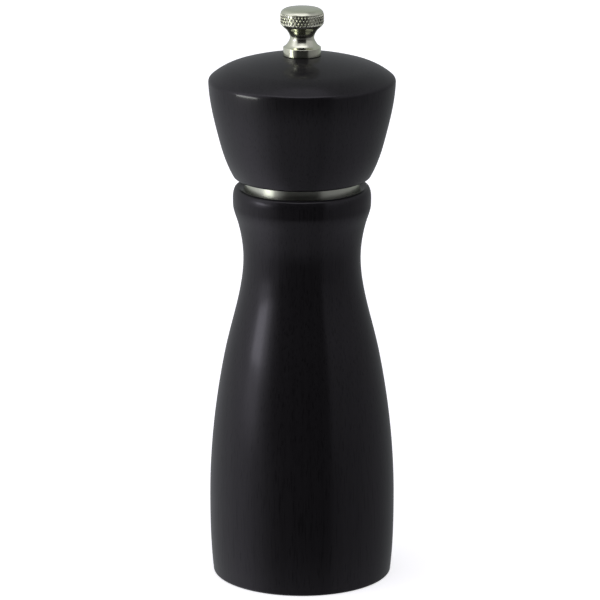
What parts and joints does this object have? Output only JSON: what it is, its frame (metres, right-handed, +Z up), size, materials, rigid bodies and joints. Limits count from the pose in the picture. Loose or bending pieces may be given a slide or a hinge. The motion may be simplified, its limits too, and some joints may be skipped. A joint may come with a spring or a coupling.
{
  "type": "pepper mill",
  "caption": "Turned dark wooden pepper mill with a waisted body, domed turning head, steel collar ring, knurled nickel finial nut and a steel burr set in the base.",
  "frame": {"origin": "centre of the base, where the mill stands on the table", "axes": "+Z up along the turning axis of the shaft, +X through one retainer screw and along the bridge bar"},
  "size_m": [0.064, 0.064, 0.2],
  "materials": {
    "stained_wood": "dark stain under satin lacquer",
    "brushed_ring": "brushed round the ring",
    "satin_nickel": "satin nickel plate, knurled disc",
    "burr_steel": "hardened and blackened, teeth worn bright",
    "zinc_plate": "zinc plated",
    "spring_steel": "drawn wire",
    "shaft_steel": "cold drawn bar",
    "bush_plastic": "moulded",
    "washer_fibre": "pressed black fibre"
  },
  "bodies": {
    "mill_body": {"body_shell": "stained_wood", "collar_ring": "brushed_ring", "burr_ring": "burr_steel", "ring_retainer": "zinc_plate", "retainer_screws": "zinc_plate", "bridge_bar": "zinc_plate", "bridge_screws": "zinc_plate", "shaft_bush": "bush_plastic"},
    "rotor": {"spring_seat": "zinc_plate", "spring": "spring_steel"},
    "spindle": {"shaft": "shaft_steel", "turning_burr": "burr_steel", "spring_washer": "zinc_plate", "end_washer": "zinc_plate", "end_nut": "zinc_plate"},
    "head": {"head_cap": "stained_wood", "drive_plate": "zinc_plate", "drive_plate_screws": "zinc_plate"},
    "nut_seat": {"knob_washer": "washer_fibre"},
    "nut": {"knob": "satin_nickel"}
  },
  "joints": [
    {"name": "head_turn", "type": "hinge", "parent": "mill_body", "child": "rotor", "pos_m": [0, 0, 0.0328], "axis": [0, 0, 1], "continuous": true},
    {"name": "burr_adjust", "type": "slide", "parent": "rotor", "child": "spindle", "axis": [0, 0, 1], "range_m": [0, 0.0012], "deforming": ["spring"]},
    {"name": "head_lift", "type": "slide", "parent": "rotor", "child": "head", "axis": [0, 0, 1], "range_m": [0, 0.075]},
    {"name": "knob_lift", "type": "slide", "parent": "head", "child": "nut_seat", "axis": [0, 0, 1], "range_m": [0, 0.02]},
    {"name": "knob_turn", "type": "hinge", "parent": "nut_seat", "child": "nut", "pos_m": [0, 0, 0.1835], "axis": [0, 0, 1], "range_deg": [-540, 0]}
  ],
  "couplings": [
    {"joint": "knob_turn", "follows": "burr_adjust", "rad_per_m": -7853.9}
  ]
}
